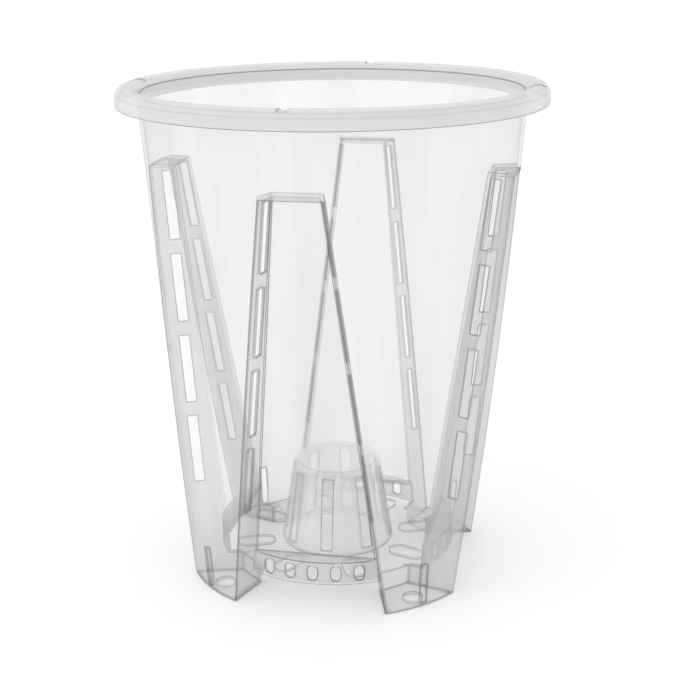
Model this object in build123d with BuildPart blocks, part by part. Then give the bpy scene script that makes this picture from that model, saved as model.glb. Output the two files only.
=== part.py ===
"""Clear orchid pot: a tapered wall with a rolled rim, four flared air channels with slotted
sides, four hollow feet between them, a raised drained floor and a slotted vent cone.

Millimetres, +Z up. The origin is on the pot's axis, in the plane that the feet stand on.
The air channels face +X, +Y, -X and -Y, and the feet stand on the diagonals between them.
"""

import math
import os

from build123d import *

# Overall sizes
pot_height = 183.0
rim_diameter = 155.0
base_diameter = 113.6
wall = 1.2

# Rolled rim: a lip inside the mouth, a low crown and a skirt that hangs outside the wall
rim_overhang = 7.6
rim_height = 6.8
rim_wall = 1.2
rim_round = 3.8
rim_lip_width = 1.3
rim_lip_height = 1.2
rim_crown_width = 3.0
rim_crown_height = 1.2
hanger_notch_width = 3.0
hanger_notch_depth = 0.8

# Air channels, measured to the faces that the outside air touches
channel_count = 4
channel_top = 152.4
channel_depth_at_foot = 13.5
channel_depth_at_top = 8.7
channel_half_width_at_top = 10.7
channel_draft = 16.7

# Slots in the channels' side walls
side_slot_count = 4
side_slot_length = 25.0
side_slot_width = 3.6
side_slot_bridge = 5.6
side_slot_top_gap = 2.0
side_slot_inset_at_top = 4.8
side_slot_inset_at_foot = 3.6

# Raised floor with its radial drain holes
floor_height = 7.0
floor_hole_count = 8
floor_hole_width = 7.0
floor_hole_margin = 1.2
floor_hole_cone_gap = 3.4

# Slotted drain band under each channel's back wall
band_top = 15.9
band_ledge_depth = 6.5
band_slot_count = 5
band_slot_pitch = 11.1
band_slot_width = 3.6
band_slot_margin = 0.5

# Hollow feet
foot_width = 30.8
foot_step = 4.7
foot_fillet = 2.4
foot_hole_diameter = 7.0
foot_hole_setback = 5.5
foot_slot_width = 2.6
foot_slot_top = 16.4

# Vent cone
cone_top = 40.5
cone_base_diameter = 43.0
cone_top_diameter = 32.6
cone_round = 2.0
cone_slot_count = 8
cone_slot_width = 4.1
cone_slot_bottom_gap = 1.5
cone_slot_top_gap = 4.0

# Places worked out from the sizes above
rim_radius = rim_diameter / 2
rim_bottom = pot_height - rim_height
floor_top = floor_height + wall
quarter = 360 / channel_count
wall_slope = (rim_radius - rim_overhang - base_diameter / 2) / pot_height
draft = math.tan(math.radians(channel_draft))
below_feet = -wall
cone_slot_turn = 360 / cone_slot_count

# Seams of the turned faces, kept clear of what is cut from them
wall_seam = quarter * 0.42
far_seam = 180


def outer_radius(height):
    """Radius of the wall's outer face at a height."""
    return base_diameter / 2 + wall_slope * height


def inner_radius(height):
    """Radius of the wall's inner face at a height."""
    return outer_radius(height) - wall


def edge_distance(height, half_width):
    """Distance from the axis, along a channel's middle, to the channel's edge in the wall."""
    return math.sqrt(outer_radius(height) ** 2 - half_width**2)


# Each foot is as wide as foot_width between the mouths of the two channels beside it
foot_half_angle = math.asin(foot_width / base_diameter)
channel_half_width_at_foot = outer_radius(0) * math.sin(math.radians(quarter / 2) - foot_half_angle)

# A channel's side is the plane  half width = side_offset + draft * distance + side_slope * height
edge_at_foot = edge_distance(0, channel_half_width_at_foot)
edge_at_top = edge_distance(channel_top, channel_half_width_at_top)
side_offset = channel_half_width_at_foot - draft * edge_at_foot
side_slope = (channel_half_width_at_top - side_offset - draft * edge_at_top) / channel_top
side_normal_length = math.sqrt(1 + draft**2 + side_slope**2)

# A channel's back wall is the plane  distance = back_at_foot + back_slope * height
back_at_foot = edge_at_foot - channel_depth_at_foot
back_slope = (edge_at_top - channel_depth_at_top - back_at_foot) / channel_top

# Rings of the base, counted in from the channels' back walls
floor_radius = back_at_foot + back_slope * band_top + band_ledge_depth
foot_inner_radius = floor_radius - foot_step
foot_ring_radius = foot_inner_radius - wall
floor_hole_start = cone_base_diameter / 2 + floor_hole_cone_gap
floor_hole_end = foot_inner_radius - floor_hole_margin
floor_hole_middle = (floor_hole_start + floor_hole_end) / 2


def half_width(distance, height, grow):
    """Half the channel's width at a distance from the axis and a height, its walls moved out by grow."""
    return side_offset + grow * side_normal_length + draft * distance + side_slope * height


def channel_outline(back, height, grow):
    """Corners of a channel's level section that faces +X, from its back to beyond the rim."""
    inner = half_width(back, height, grow)
    outer = half_width(rim_radius, height, grow)
    return [(back, -inner), (rim_radius, -outer), (rim_radius, outer), (back, inner)]


def back_distance(height, grow):
    """Distance from the axis to the channel's back wall at a height, moved in by grow."""
    return back_at_foot + back_slope * height - grow * math.hypot(1, back_slope)


def channel_block(grow):
    """The space of the channel that faces +X, its walls and cap moved out by grow."""
    cap = channel_top + grow
    with BuildPart() as block:
        with BuildSketch(Plane.XY.offset(below_feet)):
            Polygon(*channel_outline(back_distance(below_feet, grow), below_feet, grow), align=None)
        with BuildSketch(Plane.XY.offset(cap)):
            Polygon(*channel_outline(back_distance(cap, grow), cap, grow), align=None)
        loft(ruled=True)
    return block.part


def foot_gap_block(grow):
    """The space between two feet, below the drain band's top and further in than the back wall."""
    back = foot_inner_radius * 0.7
    with BuildPart() as block:
        with BuildSketch(Plane.XY.offset(below_feet)):
            Polygon(*channel_outline(back, below_feet, grow), align=None)
        with BuildSketch(Plane.XY.offset(band_top)):
            Polygon(*channel_outline(back, band_top, grow), align=None)
        loft(ruled=True)
    return block.part


def foot_round():
    """The rounded inner corner, drawn in section, where a foot's ring meets the floor above it."""
    low_end = (foot_ring_radius, floor_height - foot_fillet)
    high_end = (foot_ring_radius - foot_fillet, floor_height)
    return TangentArc(low_end, high_end, tangent=(0, 1))


def section_plane(angle):
    """A plane through the axis, its X axis pointing out at an angle and its Y axis up."""
    out = Vector(1, 0, 0).rotate(Axis.Z, angle)
    return Plane(origin=(0, 0, 0), x_dir=out, z_dir=out.cross(Vector(0, 0, 1)))


def radial_plane(angle, height):
    """A plane on the axis that faces out at an angle, with its Y axis up."""
    out = Vector(1, 0, 0).rotate(Axis.Z, angle)
    return Plane(origin=(0, 0, height), x_dir=Vector(0, 0, 1).cross(out), z_dir=out)


os.makedirs("parts", exist_ok=True)

channel_space = channel_block(0)
channel_space_grown = channel_block(wall)
gap_space = foot_gap_block(0)
gap_space_grown = foot_gap_block(wall)

# Rim: an inverted U around the mouth, with a shallow hanger notch over each channel
crown_foot = pot_height - rim_crown_height
lip_foot = crown_foot - rim_lip_height
lip_radius = inner_radius(lip_foot) + rim_lip_width
crest_radius = lip_radius + rim_crown_width
rim_ceiling = pot_height - rim_wall
under_crown = crown_foot - rim_wall
under_chamfer = (rim_round - rim_wall) * (2 - math.sqrt(2))
with BuildPart() as rim:
    with BuildSketch(section_plane(quarter / 2)) as rim_section:
        with BuildLine():
            TangentArc((crest_radius, pot_height), (lip_radius, crown_foot), tangent=(-1, 0))
            Polyline(
                (lip_radius, crown_foot),
                (inner_radius(lip_foot), lip_foot),
                (inner_radius(rim_bottom), rim_bottom),
                (outer_radius(rim_bottom), rim_bottom),
                (outer_radius(under_crown), under_crown),
                (crest_radius, rim_ceiling),
                (rim_radius - rim_wall - under_chamfer, rim_ceiling),
                (rim_radius - rim_wall, rim_ceiling - under_chamfer),
                (rim_radius - rim_wall, rim_bottom),
                (rim_radius, rim_bottom),
                (rim_radius, pot_height),
                (crest_radius, pot_height),
            )
        make_face()
        fillet(rim_section.vertices().group_by(Axis.Y)[-1].sort_by(Axis.X)[-1], rim_round)
    revolve(axis=Axis.Z)
    with BuildSketch(Plane.XY.offset(pot_height)):
        with PolarLocations(crest_radius, channel_count):
            Rectangle(2 * rim_crown_width, hanger_notch_width)
    extrude(amount=-hanger_notch_depth, mode=Mode.SUBTRACT)
rim.part.label = "rim"
export_step(rim.part, "parts/rim.step")

# Tapered wall: a thin cone, open where the channels and the feet's slots are
with BuildPart() as tapered_wall:
    with BuildSketch(section_plane(wall_seam)):
        Polygon(
            (inner_radius(0), 0),
            (outer_radius(0), 0),
            (outer_radius(rim_bottom), rim_bottom),
            (inner_radius(rim_bottom), rim_bottom),
            align=None,
        )
    revolve(axis=Axis.Z)
    with PolarLocations(0, channel_count):
        add(channel_space, mode=Mode.SUBTRACT)
    for corner in range(channel_count):
        with BuildSketch(radial_plane(quarter * (corner + 0.5), (wall + foot_slot_top) / 2)):
            Rectangle(foot_slot_width, foot_slot_top - wall)
        extrude(amount=rim_radius, mode=Mode.SUBTRACT)
tapered_wall.part.label = "tapered_wall"
export_step(tapered_wall.part, "parts/tapered_wall.step")

# Air channel: back wall, cap and two slotted sides inside the tapered wall
side_edge_foot = Vector(edge_at_foot, channel_half_width_at_foot, 0)
side_edge_top = Vector(edge_at_top, channel_half_width_at_top, channel_top)
inset_step = (side_slot_inset_at_top - side_slot_inset_at_foot) / (side_slot_count - 1)
cap_top = channel_top + wall
with BuildPart() as channel_solid:
    add(channel_space_grown)
    add(gap_space_grown)
with BuildPart() as air_channel:
    with BuildSketch(section_plane(far_seam)):
        with BuildLine():
            foot_round()
            Polyline(
                (foot_ring_radius - foot_fillet, floor_height),
                (floor_radius, floor_height),
                (floor_radius, band_top),
                (0, band_top),
                (0, cap_top),
                (inner_radius(cap_top), cap_top),
                (inner_radius(0), 0),
                (foot_ring_radius, 0),
                (foot_ring_radius, floor_height - foot_fillet),
            )
        make_face()
    revolve(axis=Axis.Z)
    add(channel_solid.part, mode=Mode.INTERSECT)
    add(channel_space, mode=Mode.SUBTRACT)
    add(gap_space, mode=Mode.SUBTRACT)
    for side in (1, -1):
        top_corner = Vector(side_edge_top.X, side * side_edge_top.Y, side_edge_top.Z)
        foot_corner = Vector(side_edge_foot.X, side * side_edge_foot.Y, side_edge_foot.Z)
        side_plane = Plane(
            origin=top_corner,
            x_dir=foot_corner - top_corner,
            z_dir=Vector(-side * draft, 1, -side * side_slope),
        )
        first_slot = side_slot_top_gap + side_slot_length / 2
        with BuildSketch(side_plane):
            for slot in range(side_slot_count):
                down = first_slot + slot * (side_slot_length + side_slot_bridge)
                inset = side_slot_inset_at_top - slot * inset_step
                with Locations((down, inset + side_slot_width / 2)):
                    Rectangle(side_slot_length, side_slot_width)
        extrude(amount=3 * wall, both=True, mode=Mode.SUBTRACT)

# Drain band: a short slotted wall under the channel, closed above by a ledge
with BuildPart() as band_ledge:
    with BuildSketch(Plane.XY.offset(band_top - wall)):
        Circle(floor_radius)
    extrude(amount=wall)
    add(channel_space_grown, mode=Mode.INTERSECT)
with BuildPart() as drain_band:
    with BuildSketch(section_plane(far_seam)):
        Polygon(
            (floor_radius - wall, floor_top),
            (floor_radius, floor_top),
            (floor_radius, band_top),
            (floor_radius - wall, band_top),
            align=None,
        )
    revolve(axis=Axis.Z)
    add(gap_space_grown, mode=Mode.INTERSECT)
    add(band_ledge.part)
    band_room = band_top - wall - floor_top
    for slot in range(band_slot_count):
        slot_angle = (slot - (band_slot_count - 1) / 2) * band_slot_pitch
        with BuildSketch(radial_plane(slot_angle, floor_top + band_room / 2)):
            SlotOverall(band_room - 2 * band_slot_margin, band_slot_width, rotation=90)
        extrude(amount=rim_radius, mode=Mode.SUBTRACT)

# Foot: a pocket with a drained sole and an inner wall, on the diagonal between two channels
with BuildPart() as foot:
    with BuildSketch(Plane.XZ):
        with BuildLine():
            foot_round()
            Polyline(
                (foot_ring_radius - foot_fillet, floor_height),
                (foot_inner_radius, floor_height),
                (foot_inner_radius, wall),
                (inner_radius(wall), wall),
                (inner_radius(0), 0),
                (foot_ring_radius, 0),
                (foot_ring_radius, floor_height - foot_fillet),
            )
        make_face()
    revolve(axis=Axis.Z, revolution_arc=quarter)
    for neighbour in (0, 1):
        add(gap_space_grown, rotation=(0, 0, neighbour * quarter), mode=Mode.SUBTRACT)
    with PolarLocations(inner_radius(0) - foot_hole_setback, 1, start_angle=quarter / 2):
        Hole(foot_hole_diameter / 2)

# The four channels, their bands and the four feet, turned into place
channel_sides = ("right", "back", "left", "front")
foot_corners = ("back_right", "back_left", "front_left", "front_right")
for turn in range(channel_count):
    turned_pieces = {
        f"air_channel_{channel_sides[turn]}": air_channel.part,
        f"drain_band_{channel_sides[turn]}": drain_band.part,
        f"foot_{foot_corners[turn]}": foot.part,
    }
    for name, piece in turned_pieces.items():
        with BuildPart() as turned:
            add(piece, rotation=(0, 0, turn * quarter))
        turned.part.label = name
        export_step(turned.part, f"parts/{name}.step")

# Floor plate: a disc with a lobe under each channel, open under the cone and at the drain holes
with BuildPart() as all_gaps:
    with PolarLocations(0, channel_count):
        add(gap_space_grown)
with BuildPart() as floor_plate:
    with BuildSketch(Plane.XY.offset(floor_height)):
        Circle(floor_radius)
    extrude(amount=wall)
    add(all_gaps.part, mode=Mode.INTERSECT)
    with BuildSketch(Plane.XY.offset(floor_height)):
        Circle(foot_inner_radius)
    extrude(amount=wall)
    with BuildSketch(Plane.XY.offset(floor_height)):
        Circle(cone_base_diameter / 2 - wall)
        with PolarLocations(floor_hole_middle, floor_hole_count, start_angle=quarter / 4):
            SlotOverall(floor_hole_end - floor_hole_start, floor_hole_width)
    extrude(amount=wall, mode=Mode.SUBTRACT)
floor_plate.part.label = "floor_plate"
export_step(floor_plate.part, "parts/floor_plate.step")

# Vent cone: a hollow frustum, closed above, with upright slots in its side
with BuildPart() as vent_cone:
    with BuildSketch(section_plane(cone_slot_turn / 2)) as cone_section:
        Polygon(
            (cone_base_diameter / 2 - wall, floor_top),
            (cone_base_diameter / 2, floor_top),
            (cone_top_diameter / 2, cone_top),
            (0, cone_top),
            (0, cone_top - wall),
            (cone_top_diameter / 2 - wall, cone_top - wall),
            align=None,
        )
        fillet(cone_section.vertices().group_by(Axis.Y)[-1].sort_by(Axis.X)[-1], cone_round)
    revolve(axis=Axis.Z)
    cone_slot_height = cone_top - cone_slot_top_gap - floor_top - cone_slot_bottom_gap
    slot_middle = floor_top + cone_slot_bottom_gap + cone_slot_height / 2
    for slot in range(cone_slot_count):
        with BuildSketch(radial_plane(slot * cone_slot_turn, slot_middle)):
            Rectangle(cone_slot_width, cone_slot_height)
        extrude(amount=cone_base_diameter, mode=Mode.SUBTRACT)
vent_cone.part.label = "vent_cone"
export_step(vent_cone.part, "parts/vent_cone.step")
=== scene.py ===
"""Dresses the clear orchid pot: moulded edges, clear polypropylene finishes, studio and camera.

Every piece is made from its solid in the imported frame, in metres, +Z up, and stands for that solid.
"""

import logging
import math
from dataclasses import dataclass, field
from enum import Enum, IntEnum

import bmesh
import bpy
from mathutils import Matrix, Vector
from mathutils.bvhtree import BVHTree


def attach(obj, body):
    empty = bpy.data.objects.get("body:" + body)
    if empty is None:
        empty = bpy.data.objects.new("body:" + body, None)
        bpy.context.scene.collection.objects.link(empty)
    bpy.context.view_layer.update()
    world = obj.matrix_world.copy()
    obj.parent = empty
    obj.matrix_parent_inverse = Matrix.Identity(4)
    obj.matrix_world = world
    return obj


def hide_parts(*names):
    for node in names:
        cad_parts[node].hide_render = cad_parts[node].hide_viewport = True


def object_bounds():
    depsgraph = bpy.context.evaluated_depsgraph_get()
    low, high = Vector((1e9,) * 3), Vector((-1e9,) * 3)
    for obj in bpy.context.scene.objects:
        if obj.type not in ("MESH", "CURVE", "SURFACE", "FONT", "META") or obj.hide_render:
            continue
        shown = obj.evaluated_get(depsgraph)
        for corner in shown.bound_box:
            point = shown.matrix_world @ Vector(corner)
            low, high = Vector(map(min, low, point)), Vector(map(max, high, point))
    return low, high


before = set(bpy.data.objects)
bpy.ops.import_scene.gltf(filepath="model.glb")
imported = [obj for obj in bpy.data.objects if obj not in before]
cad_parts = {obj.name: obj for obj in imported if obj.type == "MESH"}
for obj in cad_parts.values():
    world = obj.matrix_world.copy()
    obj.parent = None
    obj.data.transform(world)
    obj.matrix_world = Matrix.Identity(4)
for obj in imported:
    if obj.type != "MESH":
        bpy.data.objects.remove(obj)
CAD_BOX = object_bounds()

LOG = logging.getLogger("orchid_pot")

MM = 0.001
BODY = "root"
WHITE = (1, 1, 1, 1)
# How many clear faces a line of sight may pass before it stops
CLEAR_FACES_SEEN_THROUGH = 96
# The sockets of a Mix node that mixes colours
MIX_SHARE, MIX_FIRST, MIX_SECOND, MIX_RESULT = 0, 6, 7, 2


class Side(Enum):
    """The way that an air channel and the drain band under it face."""

    RIGHT = "right"
    BACK = "back"
    LEFT = "left"
    FRONT = "front"


class Corner(Enum):
    """The diagonal that a foot stands on."""

    BACK_RIGHT = "back_right"
    BACK_LEFT = "back_left"
    FRONT_LEFT = "front_left"
    FRONT_RIGHT = "front_right"


class Surface(IntEnum):
    """The material slots of a moulded piece."""

    FACE = 0
    EDGE = 1
    CUT = 2
    SIDE = 3


def linear(colour: str) -> tuple[float, float, float, float]:
    """Turns an sRGB hex colour to linear light.

    Args:
        colour: The colour as "#RRGGBB".

    Returns:
        Red, green, blue and an alpha of 1.
    """
    parts = [int(colour[i : i + 2], 16) / 255 for i in (1, 3, 5)]
    light = [p / 12.92 if p <= 0.04045 else ((p + 0.055) / 1.055) ** 2.4 for p in parts]
    return light[0], light[1], light[2], 1.0


def add_node(
    tree: bpy.types.NodeTree, kind: str, settings: dict | None = None, inputs: dict | None = None
) -> bpy.types.Node:
    """Adds a node with its settings and links.

    Args:
        tree: The tree that takes the node.
        kind: The node's Blender type.
        settings: The node's own attributes by name.
        inputs: Sockets by name or index, each with a value or with another node's output to link.

    Returns:
        The new node.
    """
    node = tree.nodes.new(kind)
    for name, value in (settings or {}).items():
        setattr(node, name, value)
    for key, value in (inputs or {}).items():
        if isinstance(value, bpy.types.NodeSocket):
            tree.links.new(value, node.inputs[key])
        else:
            node.inputs[key].default_value = value
    return node


def new_material(name: str) -> tuple[bpy.types.Material, bpy.types.NodeTree]:
    """Starts a material with an empty node tree.

    Args:
        name: The material's name.

    Returns:
        The material and its tree.
    """
    material = bpy.data.materials.new(name)
    material.use_nodes = True
    material.node_tree.nodes.clear()
    return material, material.node_tree


@dataclass(frozen=True)
class ClearPolypropylene:
    """Clear injection-moulded polypropylene: a thin wall that is nearly all see-through.

    Each face passes light with a small loss, so walls that lie behind each other turn greyer, and
    it passes less of it edge-on, where the grey it turns to is painted shade standing in for the room
    that a real wall would mirror there. A milky haze in the plastic softens what lies behind it, and
    soft upright streaks show where the melt flowed.
    """

    name: str
    passed: str = "#FDFDFD"
    passed_in_streaks: str = "#F9F9F9"
    # Painted shade: the grey a face passes edge-on, standing in for the room it would mirror
    edge_on_painted_shade: str = "#E4E4E4"
    edge_on_power: float = 8.0
    milk: str = "#EEEEEE"
    haze: float = 0.1
    ior: float = 1.49
    roughness: float = 0.25
    streak_width_mm: float = 14.0
    streak_length_mm: float = 120.0
    streak_detail: float = 3.0
    streak_grain: float = 0.55
    streaks_start: float = 0.35
    streaks_full: float = 0.7
    ripple_mm: float = 9.0
    ripple_height_mm: float = 0.02
    ripple_detail: float = 2.0
    ripple_grain: float = 0.5

    def material(self) -> bpy.types.Material:
        """Makes the finish's node material.

        Returns:
            The new material.
        """
        material, tree = new_material(self.name)
        place = add_node(tree, "ShaderNodeTexCoord").outputs["Object"]
        across, along = 1 / (self.streak_width_mm * MM), 1 / (self.streak_length_mm * MM)
        flow = add_node(
            tree, "ShaderNodeMapping", inputs={"Vector": place, "Scale": (across, across, along)}
        )
        streaks = add_node(
            tree,
            "ShaderNodeTexNoise",
            inputs={
                "Vector": flow.outputs[0],
                "Scale": 1.0,
                "Detail": self.streak_detail,
                "Roughness": self.streak_grain,
            },
        )
        streak_share = add_node(
            tree,
            "ShaderNodeMapRange",
            inputs={
                "Value": streaks.outputs["Fac"],
                "From Min": self.streaks_start,
                "From Max": self.streaks_full,
            },
        )
        tint = add_node(
            tree,
            "ShaderNodeMix",
            {"data_type": "RGBA"},
            {
                MIX_SHARE: streak_share.outputs[0],
                MIX_FIRST: linear(self.passed),
                MIX_SECOND: linear(self.passed_in_streaks),
            },
        )
        ripples = add_node(
            tree,
            "ShaderNodeTexNoise",
            inputs={
                "Vector": place,
                "Scale": 1 / (self.ripple_mm * MM),
                "Detail": self.ripple_detail,
                "Roughness": self.ripple_grain,
            },
        )
        bump = add_node(
            tree,
            "ShaderNodeBump",
            inputs={
                "Height": ripples.outputs["Fac"],
                "Distance": self.ripple_height_mm * MM,
                "Strength": 1.0,
            },
        )
        # The loss is the same from either side: next to none face-on, the most edge-on, where the tint
        # turns to a painted grey that stands in for the room the wall would mirror.
        # A blend of a half leaves the facing value as it is
        facing = add_node(tree, "ShaderNodeLayerWeight", inputs={"Blend": 0.5, "Normal": bump.outputs[0]})
        edge_on = add_node(
            tree,
            "ShaderNodeMath",
            {"operation": "POWER"},
            {0: facing.outputs["Facing"], 1: self.edge_on_power},
        )
        passing = add_node(
            tree,
            "ShaderNodeMix",
            {"data_type": "RGBA"},
            {
                MIX_SHARE: edge_on.outputs[0],
                MIX_FIRST: tint.outputs[MIX_RESULT],
                MIX_SECOND: linear(self.edge_on_painted_shade),
            },
        )
        clear = add_node(tree, "ShaderNodeBsdfTransparent", inputs={"Color": passing.outputs[MIX_RESULT]})
        milk = add_node(
            tree,
            "ShaderNodeBsdfPrincipled",
            inputs={
                "Base Color": linear(self.milk),
                "Roughness": self.roughness,
                "IOR": self.ior,
                "Normal": bump.outputs[0],
            },
        )
        whole = add_node(
            tree, "ShaderNodeMixShader", inputs={0: self.haze, 1: clear.outputs[0], 2: milk.outputs[0]}
        )
        add_node(tree, "ShaderNodeOutputMaterial", inputs={"Surface": whole.outputs[0]})
        return material


# A polished mould face: clear, with the thin milkiness of polypropylene
WALL_FINISH = ClearPolypropylene("clear_polypropylene_polished_wall")
# Painted shade: a rounded moulded edge gets a dark grey tint, a painted dark line for the light the edge
# bends away from the eye
PAINTED_EDGE_LINE_FINISH = ClearPolypropylene(
    "clear_polypropylene_rounded_edge_painted_line",
    passed="#AAAAAA",
    passed_in_streaks="#A0A0A0",
    edge_on_painted_shade="#909090",
)
# Painted shade: a fainter painted dark line, a lighter grey tint on the rounded edges of the far
# channels, the floor and the cone
FAINT_PAINTED_EDGE_LINE_FINISH = ClearPolypropylene(
    "clear_polypropylene_faint_painted_edge_line",
    passed="#CACACA",
    passed_in_streaks="#C0C0C0",
    edge_on_painted_shade="#B0B0B0",
)
# A wall's bare thickness gets a grey tint, painted shade for the light that runs along inside the wall
# and comes out grey
CUT_PAINTED_GREY_FINISH = ClearPolypropylene(
    "clear_polypropylene_cut_thickness_painted_grey",
    passed="#DCDCDC",
    passed_in_streaks="#D0D0D0",
    edge_on_painted_shade="#B0B0B0",
)
# The channels' sides and lids are milkier than the walls, and painted a shade greyer for how grey they
# look seen edge-on
SIDE_PAINTED_GREY_FINISH = ClearPolypropylene(
    "clear_polypropylene_side_painted_grey",
    passed="#F9F9F9",
    passed_in_streaks="#F4F4F4",
    edge_on_painted_shade="#D4D4D4",
    milk="#DCDCDC",
    haze=0.24,
)
# The floor is the thinnest wall, and the clearest
FLOOR_FINISH = ClearPolypropylene(
    "clear_polypropylene_thin_floor",
    passed="#FFFFFF",
    passed_in_streaks="#FCFCFC",
    edge_on_painted_shade="#EAEAEA",
    haze=0.05,
)
# The cone stands far from the mould's cooling, which leaves it milky
CONE_FINISH = ClearPolypropylene(
    "clear_polypropylene_milky_cone",
    passed="#FFFFFF",
    passed_in_streaks="#FCFCFC",
    edge_on_painted_shade="#E0E0E0",
    milk="#FCFCFC",
    haze=0.3,
)
# The feet left a matt part of the mould, so they look milky and hide what lies behind them
FOOT_FINISH = ClearPolypropylene(
    "clear_polypropylene_matt_foot",
    passed="#FFFFFF",
    passed_in_streaks="#FCFCFC",
    milk="#FAFAFA",
    haze=0.25,
    roughness=0.45,
)
# The drain bands are matt too, and a shade greyer
BAND_FINISH = ClearPolypropylene(
    "clear_polypropylene_matt_band",
    passed="#F8F8F8",
    passed_in_streaks="#F2F2F2",
    milk="#E4E4E4",
    haze=0.28,
    roughness=0.45,
)
# The rolled rim is two walls and a crown close together, and looks frosted
RIM_FINISH = ClearPolypropylene(
    "clear_polypropylene_rolled_rim",
    passed_in_streaks="#FAFAFA",
    milk="#E4E4E4",
    haze=0.6,
)
# The rim's own edges get a painted dark line, a little fainter than elsewhere and as frosted as the rim
RIM_PAINTED_EDGE_LINE_FINISH = ClearPolypropylene(
    "clear_polypropylene_rolled_rim_painted_edge_line",
    passed="#B4B4B4",
    passed_in_streaks="#A8A8A8",
    edge_on_painted_shade="#949494",
    milk="#E4E4E4",
    haze=0.3,
)


@dataclass
class Moulding:
    """A moulded piece: the shape of one solid with its sharp edges rounded as the mould rounds them."""

    node: str
    edge_radius_mm: float = 0.3
    edge_steps: int = 2
    edge_profile: float = 0.5
    merged_mm: float = 0.002
    most_plain_corners: int = 4
    cut_width_mm: float = 1.4
    cut_sharpness: float = 0.6
    sharp_from_degrees: float = 40.0
    flat_within: float = math.radians(0.2)
    touching_mm: float = 0.12
    face_finish: ClearPolypropylene = WALL_FINISH
    # The rounded edges carry a painted dark line
    edge_finish: ClearPolypropylene = PAINTED_EDGE_LINE_FINISH

    @property
    def name(self) -> str:
        """The piece's own name."""
        return f"{self.node}_moulding"

    @property
    def finishes(self) -> dict[Surface, ClearPolypropylene]:
        """The finish of each material slot."""
        return {
            Surface.FACE: self.face_finish,
            Surface.EDGE: self.edge_finish,
            Surface.CUT: CUT_PAINTED_GREY_FINISH,
            Surface.SIDE: SIDE_PAINTED_GREY_FINISH,
        }

    def build(self, neighbours: BVHTree) -> bpy.types.Object:
        """Makes the piece's mesh from its solid and puts it in the scene.

        Args:
            neighbours: The faces of all the other solids, to find the edges that are joined to them.

        Returns:
            The new object, riding on the pot's body in place of its solid.
        """
        shape = bmesh.new()
        shape.from_mesh(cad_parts[self.node].data)
        bmesh.ops.remove_doubles(shape, verts=shape.verts, dist=self.merged_mm * MM)
        flat = [edge for edge in shape.edges if not any(self.is_round(face) for face in edge.link_faces)]
        bmesh.ops.dissolve_limit(
            shape, angle_limit=self.flat_within, verts=shape.verts, edges=flat, delimit={"NORMAL"}
        )
        for face in shape.faces:
            face.smooth = True
            face.material_index = self.surface_of(face)
        # Compact triangles keep a broad face from folding over itself when its edges are rounded
        broad = [face for face in shape.faces if len(face.verts) > self.most_plain_corners]
        bmesh.ops.triangulate(shape, faces=broad, quad_method="BEAUTY", ngon_method="BEAUTY")
        bmesh.ops.bevel(
            shape,
            geom=self.free_edges(shape, neighbours),
            offset=self.edge_radius_mm * MM,
            offset_type="OFFSET",
            segments=self.edge_steps,
            profile=self.edge_profile,
            affect="EDGES",
            clamp_overlap=False,
            material=Surface.EDGE,
        )
        bmesh.ops.dissolve_degenerate(shape, dist=self.merged_mm * MM, edges=shape.edges)
        for edge in shape.edges:
            finishes = {face.material_index for face in edge.link_faces}
            edge.smooth = len(finishes) == 1 and not self.is_sharp(edge)
        mesh = bpy.data.meshes.new(self.name)
        shape.to_mesh(mesh)
        shape.free()
        piece = bpy.data.objects.new(self.name, mesh)
        bpy.context.scene.collection.objects.link(piece)
        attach(piece, BODY)
        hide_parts(self.node)
        return piece

    def is_sharp(self, edge: bmesh.types.BMEdge) -> bool:
        """Tells whether an edge of the piece's mesh is a corner and not part of a round face."""
        return edge.is_manifold and edge.calc_face_angle() > math.radians(self.sharp_from_degrees)

    def is_round(self, face: bmesh.types.BMFace) -> bool:
        """Tells whether a face of the piece's mesh is a facet of a round one."""
        inner = [edge for edge in face.edges if edge.is_manifold and not self.is_sharp(edge)]
        return any(edge.calc_face_angle() > self.flat_within for edge in inner)

    def surface_of(self, face: bmesh.types.BMFace) -> Surface:
        """Chooses a face's finish.

        Args:
            face: A face of the piece's mesh.

        Returns:
            CUT for the wall's bare thickness, at a slot, a hole or a mouth, and FACE for the rest.
        """
        around = sum(edge.calc_length() for edge in face.edges)
        sharply = sum(edge.calc_length() for edge in face.edges if self.is_sharp(edge))
        narrow = 2 * face.calc_area() / around < self.cut_width_mm * MM
        return Surface.CUT if narrow and sharply > around * self.cut_sharpness else Surface.FACE

    def free_edges(self, shape: bmesh.types.BMesh, neighbours: BVHTree) -> list[bmesh.types.BMEdge]:
        """Finds the sharp edges that no other solid is joined to.

        Args:
            shape: The piece's mesh.
            neighbours: The faces of all the other solids.

        Returns:
            The edges that the mould rounds.
        """
        found = []
        for edge in shape.edges:
            if self.is_sharp(edge):
                middle = (edge.verts[0].co + edge.verts[1].co) / 2
                if neighbours.find_nearest(middle, self.touching_mm * MM)[0] is None:
                    found.append(edge)
        return found

    def dress(self, piece: bpy.types.Object, materials: dict[str, bpy.types.Material]) -> None:
        """Gives the piece's faces and rounded edges their finishes.

        Args:
            piece: The piece's object.
            materials: The finishes' materials by name.
        """
        for surface in Surface:
            piece.data.materials.append(materials[self.finishes[surface].name])


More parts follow.
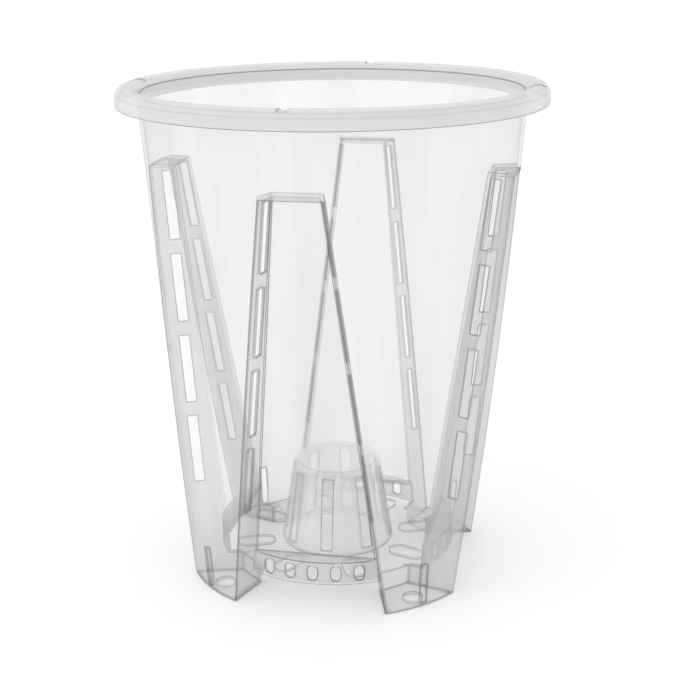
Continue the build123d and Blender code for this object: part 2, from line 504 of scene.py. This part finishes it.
@dataclass
class RolledRim(Moulding):
    """The frosted ring round the mouth."""

    node: str = "rim"
    face_finish: ClearPolypropylene = RIM_FINISH
    edge_finish: ClearPolypropylene = RIM_PAINTED_EDGE_LINE_FINISH
    facing_up: float = 0.9

    @property
    def finishes(self) -> dict[Surface, ClearPolypropylene]:
        """The finish of each material slot, with the frosted look on the bare thickness too."""
        return super().finishes | {Surface.CUT: self.face_finish}

    def free_edges(self, shape: bmesh.types.BMesh, neighbours: BVHTree) -> list[bmesh.types.BMEdge]:
        """Finds the sharp edges that no other solid is joined to.

        Args:
            shape: The rim's mesh.
            neighbours: The faces of all the other solids.

        Returns:
            The edges that the mould rounds, without the inner corners of the shallow hanger notches.
        """
        return [
            edge
            for edge in super().free_edges(shape, neighbours)
            if edge.is_convex or all(face.normal.z < self.facing_up for face in edge.link_faces)
        ]


@dataclass
class AirChannel(Moulding):
    """One folded air channel, whose slotted sides are painted a shade greyer than its panel."""

    node: str = ""
    side: Side = Side.FRONT
    side_lean: float = 0.6

    def __post_init__(self) -> None:
        """Names the solid by the channel's side; the front and right ones get the darker painted edge
        lines, the others the fainter ones.
        """
        self.node = f"air_channel_{self.side.value}"
        # The darker painted edge lines go to the front and right channels, the fainter ones to the others
        dark_lined = self.side in (Side.FRONT, Side.RIGHT)
        self.edge_finish = PAINTED_EDGE_LINE_FINISH if dark_lined else FAINT_PAINTED_EDGE_LINE_FINISH

    def surface_of(self, face: bmesh.types.BMFace) -> Surface:
        """Chooses a face's finish.

        Args:
            face: A face of the channel's mesh.

        Returns:
            SIDE for the channel's two sides and its lid, and otherwise what every moulding has there.
        """
        surface = super().surface_of(face)
        across = face.normal.y if self.side in (Side.RIGHT, Side.LEFT) else face.normal.x
        lean = max(abs(across), abs(face.normal.z))
        return Surface.SIDE if surface == Surface.FACE and lean > self.side_lean else surface


@dataclass
class DrainBand(Moulding):
    """One slotted drain band and the ledge on top of it, under an air channel."""

    node: str = ""
    side: Side = Side.FRONT
    face_finish: ClearPolypropylene = BAND_FINISH
    facing_down: float = -0.9

    def __post_init__(self) -> None:
        """Names the solid by the band's side."""
        self.node = f"drain_band_{self.side.value}"

    def free_edges(self, shape: bmesh.types.BMesh, neighbours: BVHTree) -> list[bmesh.types.BMEdge]:
        """Finds the sharp edges that no other solid is joined to.

        Args:
            shape: The band's mesh.
            neighbours: The faces of all the other solids.

        Returns:
            The edges that the mould rounds, without those under the ledge, where the moulds met sharply,
            and without the last bit before each joint, where the ledge runs out to a point.
        """
        reach = self.touching_mm * MM
        return [
            edge
            for edge in super().free_edges(shape, neighbours)
            if all(face.normal.z > self.facing_down for face in edge.link_faces)
            and all(neighbours.find_nearest(end.co, reach)[0] is None for end in edge.verts)
        ]


@dataclass
class Pot:
    """The whole pot: rim, wall, floor, cone, four channels with their drain bands, and four feet."""

    pieces: list[Moulding] = field(default_factory=list)

    def plan(self) -> None:
        """Lists the pot's mouldings."""
        self.pieces = [
            RolledRim(),
            Moulding("tapered_wall"),
            Moulding(
                "floor_plate",
                edge_radius_mm=0.5,
                face_finish=FLOOR_FINISH,
                edge_finish=FAINT_PAINTED_EDGE_LINE_FINISH,
            ),
            Moulding("vent_cone", face_finish=CONE_FINISH, edge_finish=FAINT_PAINTED_EDGE_LINE_FINISH),
        ]
        for side in Side:
            self.pieces.append(AirChannel(side=side))
            self.pieces.append(DrainBand(side=side))
        self.pieces += [Moulding(f"foot_{corner.value}", face_finish=FOOT_FINISH) for corner in Corner]

    def build(self) -> None:
        """Builds and dresses each moulding in order."""
        finishes = {finish.name: finish for piece in self.pieces for finish in piece.finishes.values()}
        materials = {name: finish.material() for name, finish in finishes.items()}
        for piece in self.pieces:
            made = piece.build(self.other_faces(piece.node))
            piece.dress(made, materials)
            LOG.info("%s: %d faces", made.name, len(made.data.polygons))

    @staticmethod
    def other_faces(node: str) -> BVHTree:
        """Gathers the faces of every solid but one.

        Args:
            node: The solid that is left out.

        Returns:
            A tree for finding the nearest of them.
        """
        corners, faces = [], []
        for name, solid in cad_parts.items():
            if name != node:
                first = len(corners)
                corners += [v.co.copy() for v in solid.data.vertices]
                faces += [[first + i for i in p.vertices] for p in solid.data.polygons]
        return BVHTree.FromPolygons(corners, faces)


@dataclass
class Studio:
    """A pale floor, a white surround and a soft lamp, in metres and watts."""

    floor_radius: float = 8.0
    floor_segments: int = 96
    floor_drop_mm: float = 0.05
    floor_colour: str = "#FCFCFC"
    ambient: float = 1.04
    lamp_place: tuple[float, float, float] = (-0.55, -0.65, 0.95)
    lamp_width: float = 0.8
    lamp_watts: float = 1.5

    def build(self) -> None:
        """Makes the floor, the world and the lamp."""
        self.build_floor()
        self.build_world()
        self.build_lamp()

    def build_floor(self) -> None:
        """Lays the floor disc, wide enough to meet the white surround out of the picture."""
        disc = bmesh.new()
        bmesh.ops.create_circle(
            disc, cap_ends=True, segments=self.floor_segments, radius=self.floor_radius
        )
        mesh = bpy.data.meshes.new("studio_floor")
        disc.to_mesh(mesh)
        disc.free()
        floor = bpy.data.objects.new("studio_floor", mesh)
        floor.location.z = -self.floor_drop_mm * MM
        bpy.context.scene.collection.objects.link(floor)
        material, tree = new_material("matt_white_paper")
        paper = add_node(tree, "ShaderNodeBsdfDiffuse", inputs={"Color": linear(self.floor_colour)})
        add_node(tree, "ShaderNodeOutputMaterial", inputs={"Surface": paper.outputs[0]})
        mesh.materials.append(material)

    def build_world(self) -> None:
        """Makes the surround: white to the eye, in mirrors and through glass, else a plain light."""
        world = bpy.data.worlds.new("white_surround")
        world.use_nodes = True
        tree = world.node_tree
        tree.nodes.clear()
        ray = add_node(tree, "ShaderNodeLightPath")
        seen = ray.outputs["Is Camera Ray"]
        for other in ("Is Glossy Ray", "Is Transmission Ray"):
            either = add_node(
                tree, "ShaderNodeMath", {"operation": "MAXIMUM"}, {0: seen, 1: ray.outputs[other]}
            )
            seen = either.outputs[0]
        light = add_node(
            tree, "ShaderNodeBackground", inputs={"Color": WHITE, "Strength": self.ambient}
        )
        white = add_node(tree, "ShaderNodeBackground", inputs={"Color": WHITE, "Strength": 1.0})
        mixed = add_node(
            tree, "ShaderNodeMixShader", inputs={0: seen, 1: light.outputs[0], 2: white.outputs[0]}
        )
        add_node(tree, "ShaderNodeOutputWorld", inputs={"Surface": mixed.outputs[0]})
        bpy.context.scene.world = world

    def build_lamp(self) -> None:
        """Hangs a square soft lamp that points at the pot."""
        light = bpy.data.lights.new("key", "AREA")
        light.shape = "SQUARE"
        light.size = self.lamp_width
        light.energy = self.lamp_watts
        lamp = bpy.data.objects.new("key", light)
        middle = (CAD_BOX[0] + CAD_BOX[1]) / 2
        lamp.location = self.lamp_place
        lamp.rotation_euler = (middle - Vector(self.lamp_place)).to_track_quat("-Z", "Y").to_euler()
        lamp.visible_camera = False
        bpy.context.scene.collection.objects.link(lamp)


@dataclass
class PhotoCamera:
    """The photograph's camera, in the pot's own frame."""

    distance_mm: float = 520.0
    heading_degrees: float = 12.17
    height_mm: float = 240.8
    pitch_degrees: float = 16.9
    aside_degrees: float = 0.575
    roll_degrees: float = -0.65
    lens_mm: float = 74.0
    sensor_mm: float = 36.0
    nearest_mm: float = 10.0

    def build(self) -> None:
        """Makes the camera and gives it to the scene."""
        heading = math.radians(self.heading_degrees)
        pitch = math.radians(self.pitch_degrees)
        roll = math.radians(self.roll_degrees)
        aside = math.radians(self.aside_degrees)
        level = Vector((-math.sin(heading), math.cos(heading), 0))
        place = (Vector((0, 0, self.height_mm)) - level * self.distance_mm) * MM
        right = Vector((math.cos(heading), math.sin(heading), 0))
        ahead = level * math.cos(pitch) - Vector((0, 0, math.sin(pitch)))
        over = right.cross(ahead)
        side = right * math.cos(roll) + over * math.sin(roll)
        over = over * math.cos(roll) - right * math.sin(roll)
        look = ahead * math.cos(aside) + side * math.sin(aside)
        side = side * math.cos(aside) - ahead * math.sin(aside)
        lens = bpy.data.cameras.new("photo_camera")
        lens.lens = self.lens_mm
        lens.sensor_width = self.sensor_mm
        lens.clip_start = self.nearest_mm * MM
        camera = bpy.data.objects.new("photo_camera", lens)
        axes = Matrix((side, over, -look)).transposed().to_4x4()
        camera.matrix_world = Matrix.Translation(place) @ axes
        bpy.context.scene.collection.objects.link(camera)
        bpy.context.scene.camera = camera


def main() -> None:
    """Builds the pot, the studio and the camera."""
    logging.basicConfig(level=logging.INFO, format="%(name)s %(message)s")
    scene = bpy.context.scene
    scene.view_settings.view_transform = "Standard"
    scene.cycles.transparent_max_bounces = CLEAR_FACES_SEEN_THROUGH
    pot = Pot()
    pot.plan()
    pot.build()
    Studio().build()
    PhotoCamera().build()


if __name__ == "__main__":
    main()
